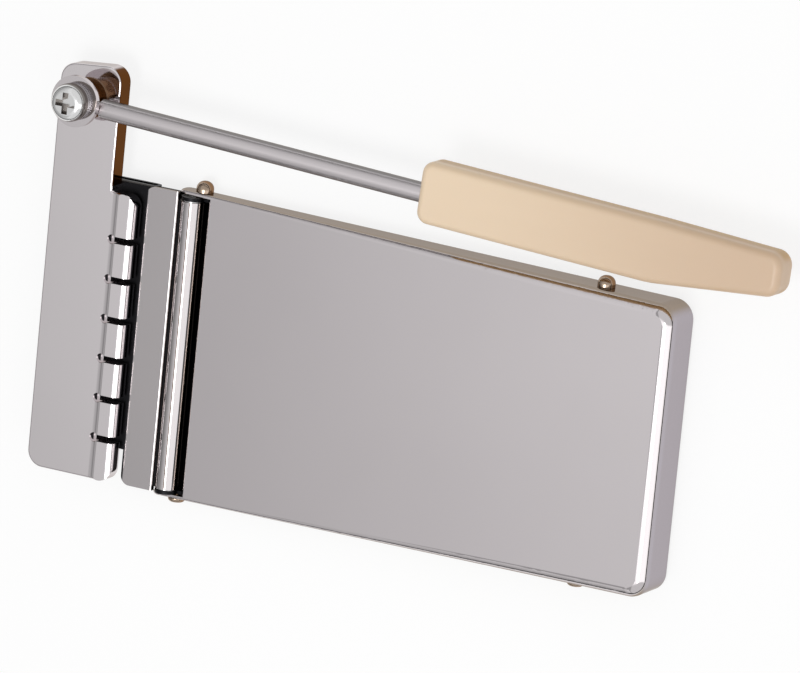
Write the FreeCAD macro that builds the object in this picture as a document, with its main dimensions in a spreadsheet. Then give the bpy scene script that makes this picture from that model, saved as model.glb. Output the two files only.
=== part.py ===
"""Guitar tremolo bridge: a hinged string plate with a U-shaped leaf spring, a swivelling arm and a long cover.

X runs from the bridge side to the tail, Y to the arm side, Z up from the guitar's top.
The origin is the centre of the four mounting holes, on the underside of the base plate.
"""
import FreeCAD, Part
import math
import os
import re
import Sketcher

V = FreeCAD.Vector

# Driving dimensions in millimetres, counts and degrees
SIZES = {
    # cover
    "cover_length": 132.0, "ear_length": 9.2, "cover_width": 78.0, "cover_taper": 2.8,
    "cover_front_height": 5.6, "cover_tail_height": 12.6, "cover_wall": 0.9, "cover_lift": 0.3,
    "cover_corner": 5.0, "cover_edge_front": 0.8, "cover_edge_tail": 2.6, "cover_inner_edge": 1.2,
    "cover_lip": 0.4, "ear_round": 2.0,
    # base plate and mounting holes
    "base_thickness": 1.2, "base_gap": 0.7, "base_reach": 8.4, "apron_length": 24.6, "apron_near": 28.0,
    "mount_pitch_x": 64.0, "mount_pitch_y": 50.0, "mount_hole_radius": 2.25,
    # hinge
    "hinge_setback": 4.9, "hinge_height": 5.0, "barrel_radius": 2.9, "ear_gap": 0.3, "pin_radius": 1.1,
    "running_gap": 0.05, "thrust_thickness": 0.2, "thrust_radius": 2.6, "seam_width": 0.3, "seam_depth": 0.35,
    "seam_shift": 0.7,
    # brackets and their rivets
    "bracket_thickness": 1.0, "bracket_height": 4.6, "bracket_low_height": 3.6,
    "foot_length": 8.8, "foot_width": 10.0, "foot_gap": 0.7, "rear_bracket_length": 12.0,
    "rear_bracket_height": 9.0, "bracket_gap": 0.2, "rivet_radius": 1.2, "rivet_head_radius": 2.0,
    "rivet_head_height": 0.9, "rivet_pitch": 5.0, "rivet_crown_share": 0.6,
    # side screws of the cover
    "side_screw_radius": 1.15, "side_head_radius": 2.2, "side_head_height": 2.8, "side_shank": 2.0,
    "low_head_height": 1.1, "dome_share": 0.9, "front_screw_setback": 2.0, "front_screw_height": 2.9,
    "rear_screw_inset": 21.5, "rear_screw_height": 6.0,
    # hinge leaf
    "leaf_thickness": 1.4, "strip_rise": 0.9, "strip_reach": 12.0, "strip_gap": 3.1, "strip_inset": 0.9,
    "strip_shift": 0.5, "strip_corner": 2.4, "strip_edge": 0.4, "neck_reach": 5.0, "neck_drop": 0.8,
    "neck_lift": 0.6, "tongue_reach": 27.0, "tongue_overlap": 1.2, "tongue_far": 38.3, "tongue_near": 29.0,
    # return spring
    "spring_thickness": 0.8, "spring_opening": 1.95, "spring_foot_gap": 0.15, "spring_bend_reach": 12.175,
    "access_radius": 3.0,
    # string plate
    "plate_thickness": 4.6, "plate_width": 24.15, "extension_width": 17.4, "plate_far": 67.4,
    "plate_slant": 1.5, "plate_near": 36.9, "plate_corner": 4.2, "plate_edge": 0.5, "plate_inner": 0.5,
    "rail_reach": 13.05, "rail_rise": 0.4, "rail_width": 4.4, "rail_far": 36.0, "rail_corner": 3.2,
    "rail_edge": 1.5, "hollow_height": 0.9, "hollow_depth": 3.0,
    "string_count": 6, "slot_pitch": 10.1, "comb_shift": 1.0, "slot_length": 5.6, "slot_width": 1.7,
    "seat_radius": 1.2, "seat_depth": 1.4,
    # screws that clamp the string plate
    "plate_screw_radius": 1.5, "plate_screw_head": 2.6, "plate_screw_cone": 1.2, "plate_screw_length": 5.0,
    "plate_screw_inset": 3.9, "plate_screw_pitch": 25.0, "plate_screw_count": 3,
    # arm pivot
    "boss_inset": 9.1, "arm_screw_radius": 2.4, "arm_head_radius": 4.75, "arm_head_height": 3.3,
    "arm_head_edge": 2.0, "recess_width": 1.6, "recess_length": 5.4, "recess_depth": 1.9,
    "lock_washer_radius": 4.5, "lock_washer_thickness": 1.1, "lock_washer_slit": 0.6,
    "friction_radius": 5.2, "friction_thickness": 0.4,
    "neck_radius": 4.2, "neck_height": 5.65, "flange_radius": 6.45, "flange_thickness": 1.4,
    "nut_flats": 8.0, "nut_height": 2.7, "thread_end": 0.3, "hex_share": 0.57735,
    # arm
    "arm_angle": 3.0, "rod_radius": 2.5, "rod_root_radius": 1.7, "rod_root_end": 5.6, "rod_chamfer": 0.5,
    "rod_gap": 0.2, "rod_offset": 1.0,
    "handle_start": 97.0, "handle_length": 97.5, "handle_width": 15.5, "handle_tip_share": 0.677,
    "handle_shift_share": 0.123, "handle_taper": 34.0, "handle_thickness": 8.0, "handle_root_corner": 3.0,
    "handle_tip_corner": 3.8, "handle_edge": 1.8, "rod_depth": 16.0,
    # how far every cut runs past the solid
    "overrun": 5.0,
}

doc = FreeCAD.newDocument("tremolo_bridge")
sheet = doc.addObject("Spreadsheet::Sheet", "sizes")
for row, (size_name, size) in enumerate(SIZES.items(), start=1):
    sheet.set("A%d" % row, size_name)
    sheet.set("B%d" % row, str(size))
    sheet.setAlias("B%d" % row, size_name)
doc.recompute()

# Places worked out from the driving dimensions
FRONT = "(-cover_length / 2)"
TAIL = "(cover_length / 2)"
EAR = f"({FRONT} - ear_length)"
AXIS = f"({FRONT} - hinge_setback)"
BASE_FRONT = f"({FRONT} - base_reach)"
BASE_TAIL = f"({TAIL} - cover_wall - base_gap)"
REAR_SCREW = f"({TAIL} - rear_screw_inset)"
FRONT_SCREW = f"({AXIS} + front_screw_setback)"
STRIP_LEFT = f"({AXIS} - strip_reach)"
STRIP_RIGHT = f"({AXIS} - strip_gap)"
TONGUE_LEFT = f"({AXIS} - tongue_reach)"
RAIL = f"({AXIS} - rail_reach)"
PLATE_LEFT = f"({RAIL} - plate_width)"
EXTENSION = f"({PLATE_LEFT} + extension_width)"
SWEEP_LEFT = f"({EXTENSION} + plate_inner)"
SWEEP_RUN = f"({RAIL} - rail_width - {SWEEP_LEFT})"
SWEEP_RADIUS = f"(({SWEEP_RUN} ^ 2 + rail_rise ^ 2) / (2 * rail_rise))"
BOSS_X = f"({PLATE_LEFT} + extension_width / 2)"
BOSS_Y = "(plate_far - boss_inset)"
COVER_HALF = "(cover_width / 2)"
COVER_TAIL_HALF = f"({COVER_HALF} - cover_taper)"
FRONT_HALF = f"({COVER_HALF} - cover_wall)"
TAIL_HALF = f"({COVER_TAIL_HALF} - cover_wall)"
TOP_SLOPE = "((cover_tail_height - cover_front_height) / cover_length)"
WALL_SLOPE = "(cover_taper / (cover_length + ear_length))"
BRACKET_OUT = f"({FRONT_HALF} - ear_gap)"
BRACKET_IN = f"({BRACKET_OUT} - bracket_thickness)"
BARREL_HALF = f"({BRACKET_IN} - thrust_thickness - 2 * running_gap)"
STRIP_HALF = f"({COVER_HALF} - strip_inset)"
FRONT_FOOT_X = f"({FRONT} + foot_gap + foot_length / 2)"
REAR_WALL = f"({FRONT_HALF} - {WALL_SLOPE} * ({REAR_SCREW} + rear_bracket_length / 2 - {EAR}))"
REAR_OUT = f"({REAR_WALL} - bracket_gap)"
FOOT_LOW = "(base_thickness + spring_foot_gap)"
LEG_TOP = f"({FOOT_LOW} + spring_thickness)"
UPPER_LEG = f"({LEG_TOP} + spring_opening)"
TONGUE_LOW = f"({UPPER_LEG} + spring_thickness)"
PLATE_LOW = f"({TONGUE_LOW} + leaf_thickness)"
PLATE_TOP = f"({PLATE_LOW} + plate_thickness)"
RAIL_TOP = f"({PLATE_TOP} + rail_rise)"
STRIP_TOP = f"({PLATE_LOW} + strip_rise)"
STRIP_LOW = f"({STRIP_TOP} - leaf_thickness)"
SPRING_Y = "((tongue_far - tongue_near) / 2)"
SPRING_LENGTH = "(tongue_far + tongue_near)"
PLATE_SCREW_X = f"({TONGUE_LEFT} + plate_screw_inset)"
BOSS_LOW = f"({PLATE_TOP} + friction_thickness + running_gap)"
BOSS_TOP = f"({BOSS_LOW} + neck_height + flange_thickness)"
LOCK_LOW = f"({BOSS_TOP} + running_gap)"
HEAD_LOW = f"({LOCK_LOW} + lock_washer_thickness)"
NUT_LOW = f"({PLATE_LOW} - nut_height)"
ROD_HEIGHT = f"({BOSS_LOW} + neck_height / 2)"
BORE_RADIUS = "(arm_screw_radius + running_gap)"

# An edge is upright when nearly all of its extent is along Z
UPRIGHT_SHARE = 0.99

pieces = []


def bind(text):
    """The expression with every size name pointed at the sheet."""
    return re.sub(r"[a-z][a-z_]+", lambda match: "sizes." + match.group(0), text)


def value(text):
    return float(sheet.evalExpression(bind(text)))


def add_piece(item, label):
    item.Label = label
    pieces.append(item)
    return item


def new_body(name):
    return doc.addObject("PartDesign::Body", name)


def new_sketch(body, role, offset="0"):
    """A sketch on one of the body's origin planes, moved along the plane's normal."""
    plane = [item for item in body.Origin.OriginFeatures if item.Role == role][0]
    sketch = body.newObject("Sketcher::SketchObject", body.Name + "_sketch")
    sketch.AttachmentSupport = [(plane, "")]
    sketch.MapMode = "FlatFace"
    sketch.setExpression(".AttachmentOffset.Base.z", bind(offset))
    return sketch


def pin_point(sketch, shape_id, end, x_text, y_text):
    """Ties a point of the sketch to two expressions."""
    for kind, axis, text in (("DistanceX", -2, x_text), ("DistanceY", -1, y_text)):
        number = value(text)
        if number == 0:
            sketch.addConstraint(Sketcher.Constraint("PointOnObject", shape_id, end, axis))
            continue
        index = sketch.addConstraint(Sketcher.Constraint(kind, -1, 1, shape_id, end, number))
        sketch.setExpression("Constraints[%d]" % index, bind(text))


def polygon(sketch, points):
    """A closed outline of straight edges through points given as expressions."""
    places = [V(value(x), value(y), 0) for x, y in points]
    count = len(places)
    ids = [sketch.addGeometry(Part.LineSegment(places[i], places[(i + 1) % count])) for i in range(count)]
    for i in range(count):
        sketch.addConstraint(Sketcher.Constraint("Coincident", ids[i], 2, ids[(i + 1) % count], 1))
    for i, (x, y) in enumerate(points):
        pin_point(sketch, ids[i], 1, x, y)


def rectangle(sketch, x_low, x_high, y_low, y_high):
    polygon(sketch, [(x_low, y_low), (x_high, y_low), (x_high, y_high), (x_low, y_high)])


def circle(sketch, x, y, radius):
    shape_id = sketch.addGeometry(Part.Circle(V(value(x), value(y), 0), V(0, 0, 1), value(radius)))
    pin_point(sketch, shape_id, 3, x, y)
    index = sketch.addConstraint(Sketcher.Constraint("Radius", shape_id, value(radius)))
    sketch.setExpression("Constraints[%d]" % index, bind(radius))


def round_corner(sketch, x, y, radius, side):
    """The outline of a cut that rounds the corner at x, y; side is a minus sign for the low end of Y."""
    inner_x = f"({x} - {radius})"
    inner_y = f"({y} - {side}{radius})"
    beyond_y = f"({y} + {side}overrun)"
    points = [(inner_x, y), (inner_x, beyond_y), (f"({x} + overrun)", beyond_y), (f"({x} + overrun)", inner_y),
              (x, inner_y)]
    places = [V(value(across), value(along), 0) for across, along in points]
    ids = [sketch.addGeometry(Part.LineSegment(first, last)) for first, last in zip(places, places[1:])]
    whole = Part.Circle(V(value(inner_x), value(inner_y), 0), V(0, 0, 1), value(radius))
    quarter = math.pi / 2
    angles, start, finish = ((-quarter, 0), 2, 1) if side else ((0, quarter), 1, 2)
    arc = sketch.addGeometry(Part.ArcOfCircle(whole, *angles))
    for first, last in zip(ids, ids[1:]):
        sketch.addConstraint(Sketcher.Constraint("Coincident", first, 2, last, 1))
    sketch.addConstraint(Sketcher.Constraint("Coincident", ids[-1], 2, arc, start))
    sketch.addConstraint(Sketcher.Constraint("Coincident", ids[0], 1, arc, finish))
    for line, (across, along) in zip(ids, points):
        pin_point(sketch, line, 1, across, along)
    pin_point(sketch, ids[-1], 2, *points[-1])
    index = sketch.addConstraint(Sketcher.Constraint("Radius", arc, value(radius)))
    sketch.setExpression("Constraints[%d]" % index, bind(radius))


def pad(body, sketch, length, symmetric=False, backwards=False):
    feature = body.newObject("PartDesign::Pad", body.Name + "_pad")
    feature.Profile = sketch
    feature.SideType = "Symmetric" if symmetric else "One side"
    feature.Reversed = backwards
    feature.setExpression("Length", bind(length))
    doc.recompute()
    return feature


def pocket(body, sketch, length, symmetric=False, backwards=False):
    """A cut that stops the build if it removes nothing."""
    before = body.Shape.Volume
    feature = body.newObject("PartDesign::Pocket", body.Name + "_pocket")
    feature.Profile = sketch
    feature.SideType = "Symmetric" if symmetric else "One side"
    feature.Reversed = backwards
    feature.setExpression("Length", bind(length))
    doc.recompute()
    if not body.Shape.Volume < before:
        raise RuntimeError("a cut in %s removes nothing" % body.Name)
    return feature


def revolve(body, points, axis="V_Axis", role="XZ_Plane", offset="0"):
    """A turned solid from a half profile beside the sketch's own axis."""
    sketch = new_sketch(body, role, offset)
    polygon(sketch, points)
    feature = body.newObject("PartDesign::Revolution", body.Name + "_turned")
    feature.Profile = sketch
    feature.ReferenceAxis = (sketch, [axis])
    doc.recompute()
    return feature


def pick_edges(shape, test):
    return ["Edge%d" % number for number, edge in enumerate(shape.Edges, start=1) if test(edge)]


def fillet(body, test, radius):
    base = body.Tip
    edges = pick_edges(base.Shape, test)
    feature = body.newObject("PartDesign::Fillet", body.Name + "_fillet")
    feature.Base = (base, edges)
    feature.setExpression("Radius", bind(radius))
    doc.recompute()
    return feature


def is_upright(edge):
    box = edge.BoundBox
    return box.ZLength > box.DiagonalLength * UPRIGHT_SHARE


def near(number, text):
    return abs(number - value(text)) < value("running_gap")


def mirror(item, name):
    """The same piece on the other side of the centre line."""
    copy = doc.addObject("Part::Mirroring", name)
    copy.Source = item
    copy.Normal = V(0, 1, 0)
    return copy


def group(label, members):
    compound = doc.addObject("Part::Compound", label)
    compound.Links = members
    return add_piece(compound, label)


def place(item, x, y, z):
    for axis, text in (("x", x), ("y", y), ("z", z)):
        item.setExpression(".Placement.Base." + axis, bind(text))


def ring(name, x, y, low, high, inner, outer):
    """A flat washer on an upright axis."""
    body = new_body(name)
    revolve(body, [(inner, low), (outer, low), (outer, high), (inner, high)])
    place(body, x, y, "0")
    return body


def rivet_points():
    """Where the rivets sit on the arm side: two along each bracket foot."""
    points = []
    for x, outer in ((FRONT_FOOT_X, BRACKET_OUT), (REAR_SCREW, REAR_OUT)):
        y = f"({outer} - (foot_width + bracket_thickness) / 2)"
        points.append((f"({x} - rivet_pitch / 2)", y))
        points.append((f"({x} + rivet_pitch / 2)", y))
    return points


def build_base_plate():
    body = new_body("base_plate")
    outline = new_sketch(body, "XY_Plane")
    front_half = f"({FRONT_HALF} - base_gap)"
    tail_half = f"({TAIL_HALF} - base_gap)"
    apron = f"({BASE_FRONT} - apron_length)"
    polygon(outline, [
        (apron, "-apron_near"), (BASE_FRONT, "-apron_near"), (BASE_FRONT, "-" + front_half),
        (BASE_TAIL, "-" + tail_half), (BASE_TAIL, tail_half), (BASE_FRONT, front_half), (apron, front_half)])
    pad(body, outline, "base_thickness")
    fillet(body, lambda edge: is_upright(edge) and near(edge.BoundBox.XMax, BASE_TAIL),
           "cover_corner - cover_wall")
    holes = new_sketch(body, "XY_Plane", "base_thickness")
    for x_sign in "+-":
        for y_sign in "+-":
            circle(holes, x_sign + "mount_pitch_x / 2", y_sign + "mount_pitch_y / 2", "mount_hole_radius")
    for x, y in rivet_points():
        for y_sign in "+-":
            circle(holes, x, y_sign + y, "rivet_radius")
    pocket(body, holes, "base_thickness + overrun")
    add_piece(body, "base_plate")


def build_bracket(name, outer, profile, foot_low, foot_high, holes, lug=False):
    """An angle bracket on the arm side: an upright cheek and a foot that turns inward."""
    body = new_body(name)
    cheek = new_sketch(body, "XZ_Plane", f"bracket_thickness / 2 - {outer}")
    polygon(cheek, profile)
    pad(body, cheek, "bracket_thickness", symmetric=True)
    if lug:
        eye = new_sketch(body, "XZ_Plane", f"bracket_thickness / 2 - {outer}")
        circle(eye, AXIS, "hinge_height", "barrel_radius")
        pad(body, eye, "bracket_thickness", symmetric=True)
    foot = new_sketch(body, "XZ_Plane", f"foot_width / 2 - {outer}")
    rectangle(foot, foot_low, foot_high, "base_thickness", "base_thickness + bracket_thickness")
    pad(body, foot, "foot_width", symmetric=True)
    rivets = new_sketch(body, "XY_Plane", "base_thickness + bracket_thickness")
    for x, y in rivet_points():
        if value(foot_low) < value(x) < value(foot_high):
            circle(rivets, x, y, "rivet_radius")
    pocket(body, rivets, "bracket_thickness")
    for x, z, radius in holes:
        bore = new_sketch(body, "XZ_Plane", f"bracket_thickness / 2 - {outer}")
        circle(bore, x, z, radius)
        pocket(body, bore, "bracket_thickness", symmetric=True)
    return body


def build_hinge_brackets():
    """The hinge brackets, with their outer faces drawn in to follow the cover's tapered walls."""
    nose = f"({AXIS} - barrel_radius)"
    heel = f"({FRONT_FOOT_X} + foot_length / 2)"
    toe = f"({FRONT_FOOT_X} - foot_length / 2)"
    step = f"({FRONT} - foot_gap)"
    profile = [
        (nose, "base_thickness"), (heel, "base_thickness"), (heel, "bracket_low_height"),
        (step, "bracket_low_height"), (step, "bracket_height"), (nose, "bracket_height")]
    holes = [
        (AXIS, "hinge_height", "pin_radius + running_gap"),
        (FRONT_SCREW, "front_screw_height", "side_screw_radius + running_gap")]
    body = build_bracket("hinge_bracket_far", BRACKET_OUT, profile, toe, heel, holes, lug=True)
    end = f"({heel} + overrun)"
    wedge = new_sketch(body, "XY_Plane")
    polygon(wedge, [
        (EAR, BRACKET_OUT), (end, f"{BRACKET_OUT} - {WALL_SLOPE} * ({end} - {EAR})"),
        (end, f"{BRACKET_OUT} + overrun"), (EAR, f"{BRACKET_OUT} + overrun")])
    pocket(body, wedge, "2 * cover_tail_height", symmetric=True)
    add_piece(body, "hinge_bracket_far")
    add_piece(mirror(body, "hinge_bracket_near"), "hinge_bracket_near")


def build_rear_brackets():
    low = f"({REAR_SCREW} - rear_bracket_length / 2)"
    high = f"({REAR_SCREW} + rear_bracket_length / 2)"
    profile = [
        (low, "base_thickness"), (high, "base_thickness"),
        (high, "rear_bracket_height"), (low, "rear_bracket_height")]
    holes = [(REAR_SCREW, "rear_screw_height", "side_screw_radius + running_gap")]
    body = build_bracket("rear_bracket", REAR_OUT, profile, low, high, holes)
    group("rear_brackets", [body, mirror(body, "rear_bracket_copy")])


def build_rivets():
    seat = "(base_thickness + bracket_thickness)"
    crown = f"({seat} + rivet_head_height)"
    rivets = []
    for x, y in rivet_points():
        for y_sign in "+-":
            body = new_body("rivet")
            revolve(body, [
                ("0", "0"), ("rivet_radius", "0"), ("rivet_radius", seat), ("rivet_head_radius", seat),
                ("rivet_head_radius * rivet_crown_share", crown), ("0", crown)])
            place(body, x, y_sign + y, "0")
            rivets.append(body)
    group("bracket_rivets", rivets)


def cover_block(name, front, tail, half_front, half_tail, low, drop, corner):
    """A wedge with a rounded tail: the outside or the inside of the cover."""
    body = new_body(name)
    plan = new_sketch(body, "XY_Plane", low)
    polygon(plan, [(front, "-" + half_front), (tail, "-" + half_tail), (tail, half_tail), (front, half_front)])
    pad(body, plan, f"cover_tail_height - {low}")
    rise_front = f"(cover_front_height - {drop} + {TOP_SLOPE} * ({front} - overrun - {FRONT}))"
    rise_tail = f"(cover_front_height - {drop} + {TOP_SLOPE} * ({tail} + overrun - {FRONT}))"
    top = new_sketch(body, "XZ_Plane")
    above = "cover_tail_height + overrun"
    polygon(top, [
        (f"({front} - overrun)", rise_front), (f"({tail} + overrun)", rise_tail),
        (f"({tail} + overrun)", above), (f"({front} - overrun)", above)])
    pocket(body, top, "2 * cover_width", symmetric=True)
    fillet(body, lambda edge: is_upright(edge) and near(edge.BoundBox.XMax, tail), corner)
    return body


def is_top_rim(edge, drop="0"):
    """An edge of the inclined top, or of the one below it, other than the one across its front end."""
    box = edge.BoundBox
    in_face = all(near(vertex.Z, f"cover_front_height - {drop} + {TOP_SLOPE} * ({vertex.X} - {FRONT})")
                  for vertex in edge.Vertexes)
    across_front = box.XLength < value("overrun") and box.XMin < value(FRONT) + value("overrun")
    return in_face and not across_front


def build_cover():
    outside = cover_block(
        "cover_outside", EAR, TAIL, COVER_HALF, COVER_TAIL_HALF, "cover_lift", "0", "cover_corner")
    screws = new_sketch(outside, "XZ_Plane")
    circle(screws, FRONT_SCREW, "front_screw_height", "side_screw_radius + running_gap")
    circle(screws, REAR_SCREW, "rear_screw_height", "side_screw_radius + running_gap")
    pocket(outside, screws, "2 * cover_width", symmetric=True)
    fillet(outside, lambda edge: near(edge.BoundBox.XMax, EAR) and not is_upright(edge), "ear_round")
    rounded = round_rim(outside, "cover_rounded", is_top_rim, cover_radius)

    inside_front = f"({EAR} - overrun)"
    half_front = f"({FRONT_HALF} + {WALL_SLOPE} * overrun)"
    inside = cover_block(
        "cover_inside", inside_front, f"({TAIL} - cover_wall)", half_front, TAIL_HALF, "(cover_lift - overrun)",
        "cover_wall", "cover_corner - cover_wall")
    fillet(inside, lambda edge: is_top_rim(edge, "cover_wall"), "cover_inner_edge")
    mouth = new_sketch(inside, "XY_Plane", "cover_lift")
    half_mouth = f"({FRONT_HALF} - {WALL_SLOPE} * ear_length)"
    polygon(mouth, [
        (inside_front, "-" + half_front), (FRONT, "-" + half_mouth), (FRONT, half_mouth),
        (inside_front, half_front)])
    pad(inside, mouth, "cover_tail_height")
    shell = doc.addObject("Part::Cut", "cover_shell")
    shell.Base = rounded
    shell.Tool = inside
    doc.recompute()
    add_piece(round_rim(shell, "cover", is_front_lip, lambda point: value("cover_lip")), "cover")


def is_front_lip(edge):
    """The top edge across the cover's mouth, between the ears."""
    box = edge.BoundBox
    return near(box.XMin, FRONT) and near(box.XMax, FRONT) and near(box.ZMin, "cover_front_height")


def round_rim(item, name, test, radius_at):
    """Rounds the edges that pass the test, with a radius that follows the place of each end."""
    rounded = doc.addObject("Part::Fillet", name)
    rounded.Base = item
    radii = []
    for number, edge in enumerate(item.Shape.Edges, start=1):
        if test(edge):
            ends = [edge.valueAt(edge.FirstParameter), edge.valueAt(edge.LastParameter)]
            radii.append((number, *[radius_at(end) for end in ends]))
    rounded.Edges = radii
    doc.recompute()
    return rounded


def cover_radius(point):
    """The rounding of the cover's top rim: small at the front, growing along the sides to the tail."""
    share = (point.x - value(EAR)) / (value(TAIL) - value("cover_corner") - value(EAR))
    front = value("cover_edge_front")
    return front + (value("cover_edge_tail") - front) * min(1, share)


def side_screw(x, z, head, dome):
    """A domed screw in the cover's wall on the arm side."""
    body = new_body("cover_screw")
    crown = f"(running_gap + {head})"
    revolve(body, [
        ("-side_shank", "0"), (crown, "0"), (crown, "side_head_radius"),
        ("running_gap", "side_head_radius"), ("running_gap", "side_screw_radius"),
        ("-side_shank", "side_screw_radius")], "H_Axis", "YZ_Plane")
    fillet(body, lambda edge: near(edge.BoundBox.YMin, crown), dome)
    place(body, x, f"{COVER_HALF} - {WALL_SLOPE} * ({x} - {EAR})", z)
    return body


def build_cover_screws():
    """Round heads on the arm side, low ones on the side away from it."""
    screws = []
    for x, z in ((FRONT_SCREW, "front_screw_height"), (REAR_SCREW, "rear_screw_height")):
        screws.append(side_screw(x, z, "side_head_height", "side_head_radius * dome_share"))
        low = side_screw(x, z, "low_head_height", "low_head_height * dome_share")
        screws.append(mirror(low, "cover_screw_low"))
    group("cover_screws", screws)


def build_hinge_pin():
    body = new_body("hinge_pin")
    section = new_sketch(body, "XZ_Plane")
    circle(section, AXIS, "hinge_height", "pin_radius")
    pad(body, section, f"2 * {BRACKET_OUT}", symmetric=True)
    add_piece(body, "hinge_pin")


def build_hinge_washers():
    body = new_body("hinge_washer")
    middle = f"({BARREL_HALF} + running_gap + thrust_thickness / 2)"
    section = new_sketch(body, "XZ_Plane", "-" + middle)
    circle(section, AXIS, "hinge_height", "thrust_radius")
    circle(section, AXIS, "hinge_height", "pin_radius + running_gap")
    pad(body, section, "thrust_thickness", symmetric=True)
    group("hinge_washers", [body, mirror(body, "hinge_washer_copy")])


def plate_screw_rows():
    """The Y places of the plate screws, evenly spread about the tongue's middle."""
    count = int(value("plate_screw_count"))
    return [f"({SPRING_Y} + plate_screw_pitch * {2 * i - count + 1} / 2)" for i in range(count)]


def plate_screw_set(name, gap, tip):
    """The countersunk screws, or their clearance when a gap is given."""
    screws = []
    for y in plate_screw_rows():
        body = new_body(name)
        radius = "plate_screw_radius + " + gap
        end = f"({UPPER_LEG} + plate_screw_length + {tip})"
        head = "plate_screw_head + " + gap
        revolve(body, [
            ("0", UPPER_LEG), (head, UPPER_LEG), (radius, f"{UPPER_LEG} + plate_screw_cone"), (radius, end),
            ("0", end)])
        place(body, PLATE_SCREW_X, y, "0")
        screws.append(body)
    return screws


def cut_piece(body, tool, label):
    cut = doc.addObject("Part::Cut", label)
    cut.Base = body
    cut.Tool = tool
    add_piece(cut, label)


def build_hinge_leaf(clearance):
    body = new_body("leaf_blank")
    strip = new_sketch(body, "XZ_Plane", "-strip_shift")
    rectangle(strip, STRIP_LEFT, STRIP_RIGHT, STRIP_LOW, STRIP_TOP)
    pad(body, strip, f"2 * {STRIP_HALF}", symmetric=True)
    fillet(body, lambda edge: is_upright(edge) and near(edge.BoundBox.XMin, STRIP_LEFT), "strip_corner")
    fillet(body, lambda edge: near(edge.BoundBox.XMin, STRIP_RIGHT) and near(edge.BoundBox.ZMin, STRIP_TOP),
           "strip_edge")
    neck = new_sketch(body, "XZ_Plane")
    throat = "(hinge_height - neck_drop)"
    neck_left = f"({AXIS} - neck_reach)"
    neck_top = f"({STRIP_LOW} + neck_lift)"
    polygon(neck, [
        (neck_left, STRIP_LOW), (f"({AXIS} - barrel_radius)", throat), (AXIS, throat), (AXIS, neck_top),
        (neck_left, neck_top)])
    pad(body, neck, f"2 * {BARREL_HALF}", symmetric=True)
    barrel = new_sketch(body, "XZ_Plane")
    circle(barrel, AXIS, "hinge_height", "barrel_radius")
    pad(body, barrel, f"2 * {BARREL_HALF}", symmetric=True)
    seam = new_sketch(body, "XZ_Plane")
    crown = "(hinge_height + barrel_radius)"
    seam_left = f"({AXIS} + seam_shift - seam_width / 2)"
    rectangle(seam, seam_left, f"({seam_left} + seam_width)", f"({crown} - seam_depth)", f"({crown} + overrun)")
    pocket(body, seam, f"2 * {BARREL_HALF} + overrun", symmetric=True)
    tongue = new_sketch(body, "XZ_Plane", "-" + SPRING_Y)
    rectangle(tongue, TONGUE_LEFT, f"({STRIP_LEFT} + tongue_overlap)", TONGUE_LOW, PLATE_LOW)
    pad(body, tongue, SPRING_LENGTH, symmetric=True)
    bore = new_sketch(body, "XZ_Plane")
    circle(bore, AXIS, "hinge_height", "pin_radius + running_gap")
    pocket(body, bore, f"2 * {BARREL_HALF} + overrun", symmetric=True)
    cut_piece(body, clearance, "hinge_leaf")


def build_return_spring(clearance):
    """A strip folded into a U: the upper leg is clamped under the tongue, the lower one rests on the apron."""
    body = new_body("spring_blank")
    bend_x = f"({AXIS} - spring_bend_reach)"
    bend_z = f"({LEG_TOP} + spring_opening / 2)"
    bend = new_sketch(body, "XZ_Plane", "-" + SPRING_Y)
    circle(bend, bend_x, bend_z, "spring_opening / 2 + spring_thickness")
    circle(bend, bend_x, bend_z, "spring_opening / 2")
    pad(body, bend, SPRING_LENGTH, symmetric=True)
    half = new_sketch(body, "XZ_Plane", "-" + SPRING_Y)
    rectangle(half, f"({bend_x} - overrun)", bend_x, f"({bend_z} - overrun)", f"({bend_z} + overrun)")
    pocket(body, half, f"{SPRING_LENGTH} + overrun", symmetric=True)
    for low in (FOOT_LOW, UPPER_LEG):
        leg = new_sketch(body, "XZ_Plane", "-" + SPRING_Y)
        rectangle(leg, TONGUE_LEFT, bend_x, low, f"({low} + spring_thickness)")
        pad(body, leg, SPRING_LENGTH, symmetric=True)
    access = new_sketch(body, "XY_Plane", LEG_TOP)
    for y in plate_screw_rows():
        circle(access, PLATE_SCREW_X, y, "access_radius")
    pocket(body, access, "spring_thickness + running_gap")
    cut_piece(body, clearance, "return_spring")


def slot_rows():
    count = int(value("string_count"))
    return [f"(slot_pitch * {2 * i - count + 1} / 2 - comb_shift)" for i in range(count)]


def is_plate_rim(edge):
    """A top edge of the string plate's outline in front of the rail."""
    box = edge.BoundBox
    across = box.XLength > value("running_gap")
    outer = any(near(box.XMin, text) for text in (PLATE_LEFT, EXTENSION))
    return near(box.ZMin, PLATE_TOP) and (outer or across)


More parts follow.
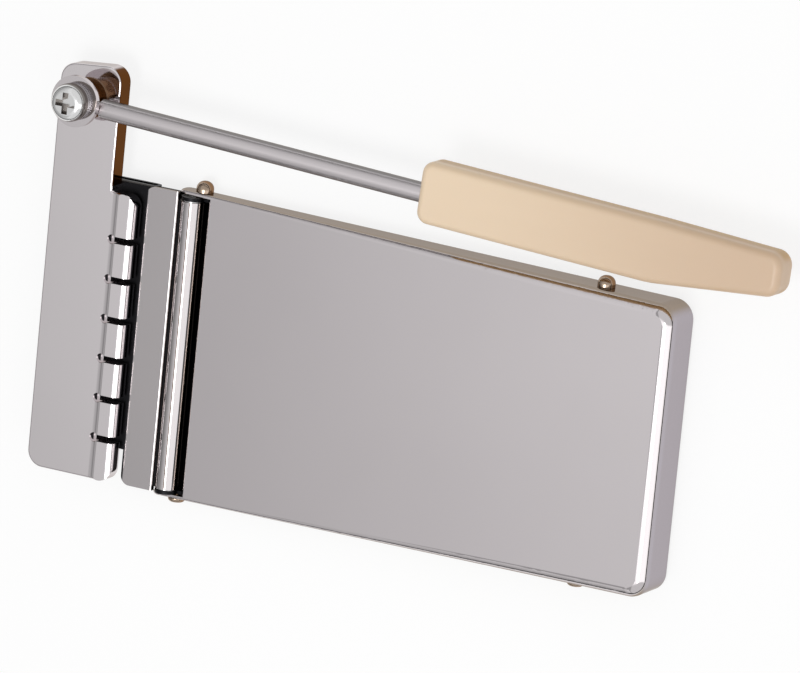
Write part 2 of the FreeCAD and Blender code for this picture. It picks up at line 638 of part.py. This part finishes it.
def build_string_plate(clearance):
    """The comb: a plate with a raised rail, a slot for each string and a seat for each ball end."""
    body = new_body("plate_blank")
    middle = "((rail_far - plate_near) / 2)"
    length = "(rail_far + plate_near)"
    profile = new_sketch(body, "XZ_Plane", "-" + middle)
    under = f"({RAIL} - hollow_depth)"
    hollow = f"({PLATE_LOW} + hollow_height)"
    polygon(profile, [
        (PLATE_LEFT, PLATE_LOW), (under, PLATE_LOW), (under, hollow), (RAIL, hollow), (RAIL, RAIL_TOP),
        (SWEEP_LEFT, RAIL_TOP), (SWEEP_LEFT, PLATE_TOP), (PLATE_LEFT, PLATE_TOP)])
    pad(body, profile, length, symmetric=True)
    sweep = new_sketch(body, "XZ_Plane", "-" + middle)
    circle(sweep, SWEEP_LEFT, f"({PLATE_TOP} + {SWEEP_RADIUS})", SWEEP_RADIUS)
    pocket(body, sweep, f"{length} + overrun", symmetric=True)
    fillet(body, lambda edge: near(edge.BoundBox.XMin, RAIL) and near(edge.BoundBox.ZMin, RAIL_TOP),
           "rail_edge")
    for y, side in (("rail_far", ""), ("-plate_near", "-")):
        corner = new_sketch(body, "XY_Plane", f"{RAIL_TOP} + overrun")
        round_corner(corner, RAIL, y, "rail_corner", side)
        pocket(body, corner, "plate_thickness + rail_rise + 2 * overrun")
    wing = new_sketch(body, "XY_Plane", PLATE_LOW)
    polygon(wing, [
        (PLATE_LEFT, "0"), (EXTENSION, "0"), (EXTENSION, "plate_far"), (PLATE_LEFT, "plate_far - plate_slant")])
    pad(body, wing, "plate_thickness")
    fillet(body, lambda edge: is_upright(edge) and (
        near(edge.BoundBox.XMin, PLATE_LEFT) or near(edge.BoundBox.YMax, "plate_far")), "plate_corner")
    fillet(body, lambda edge: is_upright(edge) and near(edge.BoundBox.XMin, EXTENSION)
           and near(edge.BoundBox.YMin, "rail_far"), "plate_inner")
    fillet(body, is_plate_rim, "plate_edge")
    slots = new_sketch(body, "XY_Plane", f"{RAIL_TOP} + overrun")
    for y in slot_rows():
        rectangle(slots, f"({RAIL} - slot_length)", f"({RAIL} + overrun)", f"({y} - slot_width / 2)",
                  f"({y} + slot_width / 2)")
    pocket(body, slots, "plate_thickness + rail_rise + 2 * overrun")
    seats = new_sketch(body, "XY_Plane", f"{PLATE_TOP} - seat_depth")
    for y in slot_rows():
        circle(seats, f"({RAIL} - slot_length)", y, "seat_radius")
    pocket(body, seats, "seat_depth + overrun", backwards=True)
    pivot = new_sketch(body, "XY_Plane", f"{PLATE_TOP} + overrun")
    circle(pivot, BOSS_X, BOSS_Y, BORE_RADIUS)
    pocket(body, pivot, "plate_thickness + 2 * overrun")
    cut_piece(body, clearance, "string_plate")


def build_arm_screw():
    body = new_body("arm_screw")
    crown = f"({HEAD_LOW} + arm_head_height)"
    tip = f"({NUT_LOW} - thread_end)"
    revolve(body, [
        ("0", tip), ("arm_screw_radius", tip), ("arm_screw_radius", HEAD_LOW), ("arm_head_radius", HEAD_LOW),
        ("arm_head_radius", crown), ("0", crown)])
    fillet(body, lambda edge: near(edge.BoundBox.ZMin, crown), "arm_head_edge")
    recess = new_sketch(body, "XY_Plane", crown)
    wide, long = "recess_width / 2", "recess_length / 2"
    polygon(recess, [
        (long, "-" + wide), (long, wide), (wide, wide), (wide, long), ("-" + wide, long), ("-" + wide, wide),
        ("-" + long, wide), ("-" + long, "-" + wide), ("-" + wide, "-" + wide), ("-" + wide, "-" + long),
        (wide, "-" + long), (wide, "-" + wide)])
    pocket(body, recess, "recess_depth")
    place(body, BOSS_X, BOSS_Y, "0")
    add_piece(body, "arm_screw")


def build_arm_washers():
    lock = ring("lock_washer", BOSS_X, BOSS_Y, LOCK_LOW, HEAD_LOW, BORE_RADIUS, "lock_washer_radius")
    slit = new_sketch(lock, "XY_Plane", f"{HEAD_LOW} + overrun")
    rectangle(slit, "-lock_washer_slit / 2", "lock_washer_slit / 2", "-lock_washer_radius - overrun", "0")
    pocket(lock, slit, "lock_washer_thickness + 2 * overrun")
    add_piece(lock, "lock_washer")
    friction_top = f"({PLATE_TOP} + friction_thickness)"
    friction = ring("friction_washer", BOSS_X, BOSS_Y, PLATE_TOP, friction_top, BORE_RADIUS, "friction_radius")
    add_piece(friction, "friction_washer")


def build_arm_nut():
    body = new_body("arm_nut")
    section = new_sketch(body, "XY_Plane", NUT_LOW)
    half, point = "nut_flats / 2", "nut_flats * hex_share"
    polygon(section, [
        (half, f"-{point} / 2"), (half, f"{point} / 2"), ("0", point), ("-" + half, f"{point} / 2"),
        ("-" + half, f"-{point} / 2"), ("0", "-" + point)])
    circle(section, "0", "0", BORE_RADIUS)
    pad(body, section, "nut_height")
    place(body, BOSS_X, BOSS_Y, "0")
    add_piece(body, "arm_nut")


def turn_arm(body, z):
    """Sets a piece of the arm on the boss's axis, swung to the arm's angle."""
    body.Placement = FreeCAD.Placement(V(0, 0, 0), FreeCAD.Rotation(V(0, 0, 1), -value("arm_angle")))
    place(body, BOSS_X, BOSS_Y, z)
    body.setExpression(".Placement.Rotation.Angle", bind("-arm_angle"))


def build_arm_boss():
    shoulder = f"({BOSS_LOW} + neck_height)"
    body = new_body("arm_boss")
    revolve(body, [
        (BORE_RADIUS, BOSS_LOW), ("neck_radius", BOSS_LOW), ("neck_radius", shoulder),
        ("flange_radius", shoulder), ("flange_radius", BOSS_TOP), (BORE_RADIUS, BOSS_TOP)])
    socket = new_sketch(body, "YZ_Plane")
    circle(socket, "-rod_offset", ROD_HEIGHT, "rod_root_radius + running_gap")
    pocket(body, socket, "neck_radius + overrun", backwards=True)
    turn_arm(body, "0")
    add_piece(body, "arm_boss")


def build_arm_rod():
    start = "(arm_screw_radius + rod_gap)"
    end = "(handle_start + rod_depth)"
    body = new_body("arm_rod")
    revolve(body, [
        (start, "0"), (end, "0"), (end, "rod_radius - rod_chamfer"), (f"({end} - rod_chamfer)", "rod_radius"),
        ("rod_root_end + rod_chamfer", "rod_radius"), ("rod_root_end", "rod_root_radius"),
        (start, "rod_root_radius")], "H_Axis", offset="rod_offset")
    turn_arm(body, ROD_HEIGHT)
    add_piece(body, "arm_rod")


def build_arm_handle():
    tip = "(handle_start + handle_length)"
    bend = f"({tip} - handle_taper)"
    body = new_body("arm_handle")
    plan = new_sketch(body, "XY_Plane")
    half = "(handle_width / 2)"
    tip_middle = "handle_width * handle_shift_share"
    tip_half = f"{half} * handle_tip_share"
    polygon(plan, [
        ("handle_start", "-" + half), (bend, "-" + half), (tip, f"{tip_middle} - {tip_half}"),
        (tip, f"{tip_middle} + {tip_half}"), (bend, half), ("handle_start", half)])
    pad(body, plan, "handle_thickness", symmetric=True)
    corners = {"handle_start": "handle_root_corner", tip: "handle_tip_corner", bend: "handle_taper"}
    for x, corner in corners.items():
        fillet(body, lambda edge: is_upright(edge) and near(edge.BoundBox.XMin, x), corner)
    fillet(body, lambda edge: near(edge.BoundBox.ZLength, "0"), "handle_edge")
    socket = new_sketch(body, "YZ_Plane", "handle_start")
    circle(socket, "-rod_offset", "0", "rod_radius + running_gap")
    pocket(body, socket, "rod_depth + running_gap", backwards=True)
    turn_arm(body, ROD_HEIGHT)
    add_piece(body, "arm_handle")


def export():
    os.makedirs("parts", exist_ok=True)
    for item in doc.Objects:
        if "Invalid" in item.State or "Error" in item.State:
            raise RuntimeError("%s did not compute" % item.Label)
    for piece in pieces:
        if piece.Shape.isNull() or not piece.Shape.isValid():
            raise RuntimeError("%s has no valid shape" % piece.Label)
        piece.Shape.exportStep("parts/%s.step" % piece.Label)


build_base_plate()
build_hinge_brackets()
build_rear_brackets()
build_rivets()
build_cover()
build_cover_screws()
build_hinge_pin()
build_hinge_washers()
clearance_set = doc.addObject("Part::Compound", "plate_screw_clearance")
clearance_set.Links = plate_screw_set("plate_screw_hole", "running_gap", "thread_end")
group("plate_screws", plate_screw_set("plate_screw", "0", "0"))
build_hinge_leaf(clearance_set)
build_return_spring(clearance_set)
build_string_plate(clearance_set)
build_arm_screw()
build_arm_washers()
build_arm_nut()
build_arm_boss()
build_arm_rod()
build_arm_handle()
doc.recompute()
export()
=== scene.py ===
"""The looks of the guitar tremolo bridge: mirror chrome, plated steel, a black spring and a cream handle."""

import bpy
from mathutils import Matrix, Vector


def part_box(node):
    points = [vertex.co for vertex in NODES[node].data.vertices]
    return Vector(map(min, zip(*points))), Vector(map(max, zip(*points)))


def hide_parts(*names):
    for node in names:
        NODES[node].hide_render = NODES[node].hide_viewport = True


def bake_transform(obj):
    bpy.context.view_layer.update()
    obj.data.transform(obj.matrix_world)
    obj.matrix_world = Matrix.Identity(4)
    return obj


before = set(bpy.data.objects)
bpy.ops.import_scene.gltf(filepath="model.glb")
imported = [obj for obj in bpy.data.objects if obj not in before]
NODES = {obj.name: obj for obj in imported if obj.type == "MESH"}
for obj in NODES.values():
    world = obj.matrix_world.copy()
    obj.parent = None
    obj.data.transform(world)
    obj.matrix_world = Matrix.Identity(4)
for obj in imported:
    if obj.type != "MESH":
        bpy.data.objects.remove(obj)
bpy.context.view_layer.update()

# Camera of the photograph: place and reach in metres, and the directions of its right, up and back
SENSOR_MM = 36.0
LENS_MM = 360.0
CAMERA_REACH = 10.0
CAMERA_PLACE = Vector((0.8575, 0.4358, 1.7016))
CAMERA_RIGHT = Vector((0.87633, 0.09605, -0.47203))
CAMERA_UP = Vector((-0.18557, 0.97160, -0.14680))
CAMERA_BACK = Vector((0.44453, 0.21624, 0.86927))

# Colours as linear red, green and blue, with an opacity where a socket takes it straight
CHROME = (0.690, 0.648, 0.662)
PLATE_CHROME = (0.785, 0.742, 0.757)
# A darker copy of the chrome: painted shade for the strip's dimmer reflection
STRIP_CHROME_SHADED = (0.530, 0.500, 0.506)
# Tones on the chrome's side faces, the cover's tail and the extension's edge: painted reflections
TAUPE_SIDE_REFLECTION = (0.350, 0.292, 0.240)
COOL_TAIL_REFLECTION = (0.445, 0.413, 0.448)
DARK_SIDE_REFLECTION = (0.200, 0.185, 0.175)
BROWN_EDGE_REFLECTION = (0.112, 0.038, 0.006)
ROD_SIDE_REFLECTION = (0.250, 0.238, 0.236)
EDGE_TINT = (0.680, 0.645, 0.620, 1.0)
SCREW_STEEL = (0.850, 0.850, 0.850)
TARNISHED = (0.420, 0.325, 0.250)
PLATED = (0.520, 0.515, 0.520)
# Black of the blackened steel, also painted as shade on the ball-end seats, the tongue and the groove floor
BLACKENED_AND_SHADE = (0.018, 0.018, 0.020)
# Bronze of the friction washer, also painted as shade under the boss's flange and on the cover screws' sides
BRONZE_AND_SIDE_SHADE = (0.260, 0.150, 0.080)
# The handle's cream, lit at its root and with painted shade at its tip
IVORY_LIT_ROOT = (0.790, 0.625, 0.450)
IVORY_SHADED_TIP = (0.635, 0.465, 0.325)
# Painted shade low on the handle's sides
IVORY_SIDE_SHADE = (0.520, 0.325, 0.140)
FLOOR_WHITE = (0.93, 0.93, 0.93, 1.0)
WHITE = (1.0, 1.0, 1.0, 1.0)

# Places on the pieces, in metres
EXTENSION_LOW = 0.0375
SEAT_DARK_END = -0.0903
SEAT_TOP = 0.0102
TONGUE_END = -0.0824
GROOVE_END = -0.0718
GROOVE_TOP = 0.0065
FLANGE_LOW = 0.0169
SOFTNESS = 0.0001

# Metals: scales and limits of the noises, how far a face turns before its painted tone sets in, bump depths
# in metres
CLOUD_SCALE = 20.0
CLOUD_LIMITS = (0.3, 0.8)
CLOUD_SHADE = 0.97
DULL_LIMITS = (0.3, 0.7)
DULL_RANGE = 0.02
HAIR_STRETCH = (40.0, 900.0, 900.0)
HAIR_SCALE = 3.0
HAIR_LIMITS = (0.6, 0.8)
HAIR_ROUGHNESS = 0.02
BLACK_ROUGHNESS = 0.35
TAIL_FACING = (0.6, 0.95)
EDGE_FACING = (0.3, 0.55)
SEAT_FACING = (0.5, 0.8)
WAVE_SCALE = 25.0
WAVE_DETAIL = 1.0
WAVE_DEPTH = 0.000002
GRAIN_STRETCH = (60.0, 2600.0, 2600.0)
GRAIN_LIMITS = (0.3, 0.7)
GRAIN_DEPTH = 0.00001
GRAIN_STRENGTH = 0.5
PATCH_SCALE = 120.0
PATCH_SHADE = 0.72

# Plastic: the flow marks, the painted shade low on the handle's sides, and the skin, bump depth in metres
FLOW_STRETCH = (12.0, 90.0, 90.0)
FLOW_LIMITS = (0.4, 0.7)
FLOW_SHARE = 0.05
FLOW_SHADE = 0.8
SIDE_FACING = (0.25, 0.75)
SIDE_HEIGHTS = (0.45, 0.8)
SIDE_SHARE_ABOVE = 0.15
SKIN_SCALE = 1500.0
SKIN_DEPTH = 0.00001
SKIN_STRENGTH = 0.25
SKIN_LIMITS = (0.3, 0.7)
SKIN_ROUGHNESS = (0.38, 0.46)
SUBSURFACE_SHARE = 0.08
SUBSURFACE_RADIUS = (0.004, 0.003, 0.002)
COAT_SHARE = 0.1
COAT_ROUGHNESS = 0.3

# Floor and cards: places, sizes and limits in metres, and strengths
FLOOR_PLACE = (0, 0, -0.0003)
FLOOR_SIZE = 12.0
FLOOR_GLOW = 0.8
CARD_WIDTH = 0.92
CARD_FALL = (-0.46, 0.12)
CARD_FALL_SHARE = 0.45
CARD_RISE = (0.12, 0.46)
CARD_STRENGTHS = (0.55, 0.875)
CARD_EDGE = (-0.88, -0.69)
CARD_EDGE_SHARE = 0.9

# World: limits along the axes of a direction of length one, and strengths
TENT_LEAN = 0.404
TENT_BORDER = 0.02
TENT_NEAR_END = (-0.42, -0.32)
TENT_FAR_END = (-0.12, 0.04)
TENT_END_SHARE = 0.5
TENT_HORIZON = (0.15, 0.21)
TENT_STRENGTH = 1.5
STRING_HORIZON = (0.12, 0.30)
STRING_STRENGTH = 0.42
HORIZON_STRENGTH = 0.06

# Key lamp: place and size in metres, power in watts
KEY_PLACE = Vector((0.10, -0.25, 1.30))
KEY_SIZE = 0.5
KEY_POWER = 4.5


class Graph:
    """A material's or world's nodes, with short ways to add and join them."""

    def __init__(self, tree):
        self.tree = tree
        tree.nodes.clear()

    def fill(self, socket, value):
        """Join a socket to another one, or give it a value of its own."""
        if isinstance(value, bpy.types.NodeSocket):
            self.tree.links.new(value, socket)
        else:
            socket.default_value = value

    def add(self, kind, links=None, **settings):
        """A node of that kind: settings are its own values, links fill its inputs by name or number."""
        node = self.tree.nodes.new("ShaderNode" + kind)
        for name, value in settings.items():
            setattr(node, name, value)
        for key, value in (links or {}).items():
            self.fill(node.inputs[key], value)
        return node

    def math(self, operation, first, second=0.0):
        return self.add("Math", {0: first, 1: second}, operation=operation).outputs[0]

    def ramp(self, value, low, high, to_low=0.0, to_high=1.0):
        """A smooth step of a value between two limits."""
        node = self.add("MapRange", {
            "Value": value, "From Min": low, "From Max": high, "To Min": to_low, "To Max": to_high},
            interpolation_type="SMOOTHSTEP")
        return node.outputs["Result"]

    def noise(self, vector, scale, detail=3.0):
        return self.add("TexNoise", {"Vector": vector, "Scale": scale, "Detail": detail}).outputs["Fac"]

    def stretched(self, vector, scale):
        return self.add("Mapping", {"Vector": vector, "Scale": scale}).outputs[0]

    def bump(self, height, depth, strength):
        return self.add("Bump", {"Height": height, "Distance": depth, "Strength": strength}).outputs[0]

    def mix_colour(self, share, first, second):
        """A share of the second colour over the first. A colour is a socket, or red, green and blue."""
        node = self.add("Mix", {0: share}, data_type="RGBA")
        for number, colour in ((6, first), (7, second)):
            self.fill(node.inputs[number], (*colour, 1.0) if isinstance(colour, tuple) else colour)
        return node.outputs[2]

    def place(self):
        """The point's place on its object at rest, in metres."""
        return self.add("TexCoord").outputs["Object"]

    def part(self, vector, axis):
        return self.add("SeparateXYZ", {0: vector}).outputs[axis]

    def facing(self, axis):
        """How far the surface faces along an axis of its object."""
        return self.part(self.add("TexCoord").outputs["Normal"], axis)

    def below(self, axis, limit):
        """One where the place on an axis is under the limit, else nought."""
        return self.ramp(self.part(self.place(), axis), limit - SOFTNESS, limit + SOFTNESS, 1.0, 0.0)


def new_material(name):
    material = bpy.data.materials.new(name)
    material.use_nodes = True
    return material, Graph(material.node_tree)


def set_surface(graph, shader):
    graph.add("OutputMaterial", {"Surface": shader.outputs[0]})


def shaded(colour, share):
    return tuple(share * part for part in colour)


def extension_edge(graph):
    """The cut edge of the arm's extension that looks towards the tail, where a brown reflection is painted.
    """
    beyond = graph.math("SUBTRACT", 1.0, graph.below("Y", EXTENSION_LOW))
    return graph.math("MULTIPLY", graph.ramp(graph.facing("X"), *EDGE_FACING), beyond)


def under_flange(graph):
    # Painted shade on the boss's faces under its flange
    return graph.below("Z", FLANGE_LOW)


def tongue_and_groove_shade(graph):
    """Painted black shade on the tongue under the string plate and on the floor of the groove beside the
    barrel.
    """
    groove = graph.math("MULTIPLY", graph.below("Z", GROOVE_TOP), graph.below("X", GROOVE_END))
    return graph.math("MAXIMUM", groove, graph.below("X", TONGUE_END))


def seat_shade(graph):
    """Painted shade on the outer half of each ball-end seat's floor."""
    floor = graph.math("MULTIPLY", graph.below("X", SEAT_DARK_END), graph.below("Z", SEAT_TOP))
    return graph.math("MULTIPLY", floor, graph.ramp(graph.facing("Z"), *SEAT_FACING))


def polished_metal(name, colour, side, tail=None, gloss=0.05, turn=(0.3, 0.6), painted_side_mask=None, blackened=None):
    """Bright plating with fine hairlines. Faces that turn from level have the side's tone, painted reflection
    and shade;
    those towards the tail may have a painted reflection of their own, and masks limit where the side's tone
    is and where painted black shade is."""
    material, graph = new_material(name)
    place = graph.place()
    clouds = graph.noise(place, CLOUD_SCALE)
    hairs = graph.noise(graph.stretched(place, HAIR_STRETCH), HAIR_SCALE)
    tone = graph.mix_colour(graph.ramp(clouds, *CLOUD_LIMITS), colour, shaded(colour, CLOUD_SHADE))
    # Painted reflection and shade: faces that turn from level take the side's tone
    turned = graph.ramp(graph.math("ABSOLUTE", graph.facing("Z")), *turn, 1.0, 0.0)
    if painted_side_mask:
        turned = graph.math("MULTIPLY", turned, painted_side_mask(graph))
    if tail:
        # Painted reflection on faces that look towards the tail
        side = graph.mix_colour(graph.ramp(graph.facing("X"), *TAIL_FACING), side, tail)
    tone = graph.mix_colour(turned, tone, side)
    dull = graph.ramp(clouds, *DULL_LIMITS, gloss, gloss + DULL_RANGE)
    rough = graph.math("ADD", dull, graph.ramp(hairs, *HAIR_LIMITS, 0.0, HAIR_ROUGHNESS))
    # Painted black shade where the mask marks a hollow
    if blackened:
        black = blackened(graph)
        tone = graph.mix_colour(black, tone, BLACKENED_AND_SHADE)
        rough = graph.math("ADD", rough, graph.math("MULTIPLY", black, BLACK_ROUGHNESS))
    wave = graph.bump(graph.noise(place, WAVE_SCALE, WAVE_DETAIL), WAVE_DEPTH, 1.0)
    shader = graph.add("BsdfPrincipled", {
        "Base Color": tone, "Roughness": rough, "Normal": wave, "Metallic": 1.0,
        "Specular Tint": EDGE_TINT})
    set_surface(graph, shader)
    return material


def brushed_metal(name, colour, rough_low, rough_high):
    """Duller metal with a drawn grain along X."""
    material, graph = new_material(name)
    place = graph.place()
    grain = graph.noise(graph.stretched(place, GRAIN_STRETCH), 1.0)
    patches = graph.noise(place, PATCH_SCALE)
    tone = graph.mix_colour(patches, colour, shaded(colour, PATCH_SHADE))
    shader = graph.add("BsdfPrincipled", {
        "Base Color": tone, "Roughness": graph.ramp(grain, *GRAIN_LIMITS, rough_low, rough_high),
        "Normal": graph.bump(grain, GRAIN_DEPTH, GRAIN_STRENGTH), "Metallic": 1.0})
    set_surface(graph, shader)
    return material


def ivory_plastic(name):
    """Moulded cream plastic with faint flow marks, and painted shade that darkens it towards the tip and low
    on the sides.
    """
    material, graph = new_material(name)
    low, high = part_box("arm_handle")
    heights = [low.z + share * (high.z - low.z) for share in SIDE_HEIGHTS]
    place = graph.place()
    flow = graph.noise(graph.stretched(place, FLOW_STRETCH), 1.0)
    # Painted shade that darkens the cream towards the tip
    tip_shade = graph.ramp(graph.part(place, "X"), low.x, high.x)
    tone = graph.mix_colour(tip_shade, IVORY_LIT_ROOT, IVORY_SHADED_TIP)
    marks = graph.ramp(flow, *FLOW_LIMITS, 0.0, FLOW_SHARE)
    tone = graph.mix_colour(marks, tone, shaded(IVORY_SHADED_TIP, FLOW_SHADE))
    # Painted shade low on the handle's sides
    sides = graph.ramp(graph.math("ABSOLUTE", graph.facing("Y")), *SIDE_FACING)
    lower = graph.ramp(graph.part(place, "Z"), *heights, 1.0, SIDE_SHARE_ABOVE)
    tone = graph.mix_colour(graph.math("MULTIPLY", sides, lower), tone, IVORY_SIDE_SHADE)
    shader = graph.add("BsdfPrincipled", {
        "Base Color": tone, "Roughness": graph.ramp(flow, *SKIN_LIMITS, *SKIN_ROUGHNESS),
        "Normal": graph.bump(graph.noise(place, SKIN_SCALE), SKIN_DEPTH, SKIN_STRENGTH),
        "Subsurface Weight": SUBSURFACE_SHARE, "Subsurface Radius": SUBSURFACE_RADIUS,
        "Coat Weight": COAT_SHARE, "Coat Roughness": COAT_ROUGHNESS})
    set_surface(graph, shader)
    return material


def dress_nodes():
    """Give each piece its material."""
    finish = {
        polished_metal("cover_chrome", CHROME, TAUPE_SIDE_REFLECTION, tail=COOL_TAIL_REFLECTION, turn=(0.45, 0.75)): ["cover"],
        polished_metal("plate_chrome", PLATE_CHROME, BROWN_EDGE_REFLECTION, turn=(0.6, 0.9), painted_side_mask=extension_edge,
                       blackened=seat_shade): ["string_plate"],
        polished_metal("strip_chrome", STRIP_CHROME_SHADED, TAUPE_SIDE_REFLECTION, gloss=0.1,
                       blackened=tongue_and_groove_shade): ["hinge_leaf"],
        polished_metal("boss_chrome", CHROME, BRONZE_AND_SIDE_SHADE, painted_side_mask=under_flange): ["arm_boss"],
        polished_metal("rod_chrome", CHROME, ROD_SIDE_REFLECTION, gloss=0.28, turn=(0.45, 0.64)): ["arm_rod"],
        polished_metal("screw_plate", SCREW_STEEL, DARK_SIDE_REFLECTION, gloss=0.16): ["arm_screw"],
        polished_metal("tarnished_steel", TARNISHED, BRONZE_AND_SIDE_SHADE, gloss=0.14): ["cover_screws"],
        brushed_metal("bright_plate", PLATED, 0.22, 0.36): [
            "hinge_pin", "hinge_washers", "lock_washer", "arm_nut"],
        brushed_metal("blackened_steel", BLACKENED_AND_SHADE, 0.35, 0.5): [
            "base_plate", "hinge_bracket_far", "hinge_bracket_near", "rear_brackets", "bracket_rivets",
            "return_spring", "plate_screws"],
        brushed_metal("bronze", BRONZE_AND_SIDE_SHADE, 0.25, 0.4): ["friction_washer"],
        ivory_plastic("ivory_plastic"): ["arm_handle"],
    }
    for material, names in finish.items():
        for name in names:
            mesh = NODES[name].data
            mesh.materials.clear()
            mesh.materials.append(material)


def build_spring():
    """A copy of the return spring takes the place of the piece, which is hidden, with its mesh set in the
    frame. The copy has the material that the piece was given."""
    spring = bpy.data.objects.new("leaf_spring", NODES["return_spring"].data.copy())
    bpy.context.scene.collection.objects.link(spring)
    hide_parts("return_spring")
    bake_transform(spring)


def build_camera():
    data = bpy.data.cameras.new("camera")
    data.sensor_fit = "HORIZONTAL"
    data.sensor_width = SENSOR_MM
    data.lens = LENS_MM
    data.clip_end = CAMERA_REACH
    camera = bpy.data.objects.new("camera", data)
    turn = Matrix((CAMERA_RIGHT, CAMERA_UP, CAMERA_BACK)).transposed()
    camera.matrix_world = Matrix.Translation(CAMERA_PLACE) @ turn.to_4x4()
    bpy.context.scene.collection.objects.link(camera)
    bpy.context.scene.camera = camera


def plane(name, centre, width, length):
    """A flat rectangle facing up, as mesh."""
    x, y = width / 2, length / 2
    mesh = bpy.data.meshes.new(name)
    mesh.from_pydata([(-x, -y, 0), (x, -y, 0), (x, y, 0), (-x, y, 0)], [], [(0, 1, 2, 3)])
    item = bpy.data.objects.new(name, mesh)
    item.location = centre
    bpy.context.scene.collection.objects.link(item)
    return item


def build_floor():
    """A white floor that keeps a faint shadow, and shows the same white to the camera and to metal."""
    floor = plane("floor", FLOOR_PLACE, FLOOR_SIZE, FLOOR_SIZE)
    material, graph = new_material("white_floor")
    rays = graph.add("LightPath").outputs
    seen = graph.math("MAXIMUM", rays["Is Camera Ray"], rays["Is Glossy Ray"])
    seen = graph.math("MAXIMUM", seen, rays["Is Transmission Ray"])
    matt = graph.add("BsdfDiffuse", {"Color": FLOOR_WHITE})
    glow = graph.add("Emission", {"Color": WHITE, "Strength": 1.0})
    share = graph.math("MULTIPLY", seen, FLOOR_GLOW)
    set_surface(graph, graph.add("MixShader", {0: share, 1: matt.outputs[0], 2: glow.outputs[0]}))
    floor.data.materials.append(material)


def build_card(name, centre, length):
    """A soft grey card over the string side, brighter towards the tail. The camera looks through it."""
    card = plane(name, centre, CARD_WIDTH, length)
    card.visible_camera = False
    material, graph = new_material(name)
    along, across = (graph.part(graph.place(), axis) for axis in "XY")
    fall = graph.ramp(along, *CARD_FALL, CARD_FALL_SHARE, 1.0)
    fade = graph.math("MULTIPLY", fall, graph.ramp(across, *CARD_EDGE, CARD_EDGE_SHARE, 1.0))
    strength = graph.math("MULTIPLY", fade, graph.ramp(along, *CARD_RISE, *CARD_STRENGTHS))
    set_surface(graph, graph.add("Emission", {"Color": WHITE, "Strength": strength}))
    card.data.materials.append(material)


def build_world():
    """A tent over the tail side, white in a band and greyer beside it, over a dark line at the horizon, and a
    dim string side."""
    world = bpy.data.worlds.new("tent")
    bpy.context.scene.world = world
    world.use_nodes = True
    graph = Graph(world.node_tree)
    direction = graph.add("TexCoord").outputs["Generated"]
    across, depth, height = (graph.part(direction, axis) for axis in "XYZ")
    lean = graph.math("ADD", across, graph.math("MULTIPLY", height, TENT_LEAN))
    near_end = graph.ramp(depth, *TENT_NEAR_END, TENT_END_SHARE, 1.0)
    band = graph.math("MULTIPLY", near_end, graph.ramp(depth, *TENT_FAR_END, 1.0, TENT_END_SHARE))
    tent = graph.ramp(height, *TENT_HORIZON, HORIZON_STRENGTH, TENT_STRENGTH)
    tail_side = graph.math("MULTIPLY", band, tent)
    string_side = graph.ramp(height, *STRING_HORIZON, HORIZON_STRENGTH, STRING_STRENGTH)
    share = graph.ramp(lean, -TENT_BORDER, TENT_BORDER)
    strength = graph.add("Mix", {0: share, 2: string_side, 3: tail_side}).outputs[0]
    sky = graph.add("Background", {"Color": WHITE, "Strength": strength})
    graph.add("OutputWorld", {"Surface": sky.outputs[0]})


def build_key_lamp():
    """A round lamp above the object that points at the frame's origin."""
    data = bpy.data.lights.new("key", "AREA")
    data.shape = "DISK"
    data.size = KEY_SIZE
    data.energy = KEY_POWER
    lamp = bpy.data.objects.new("key", data)
    turn = (-KEY_PLACE).to_track_quat("-Z", "Y").to_matrix()
    lamp.matrix_world = Matrix.Translation(KEY_PLACE) @ turn.to_4x4()
    bpy.context.scene.collection.objects.link(lamp)


bpy.context.scene.view_settings.view_transform = "Standard"
dress_nodes()
build_spring()
build_camera()
build_floor()
build_card("card_middle", (-0.70, 0.635, 0.60), 1.93)
build_card("card_near", (-0.70, -1.25, 0.60), 1.50)
build_world()
build_key_lamp()
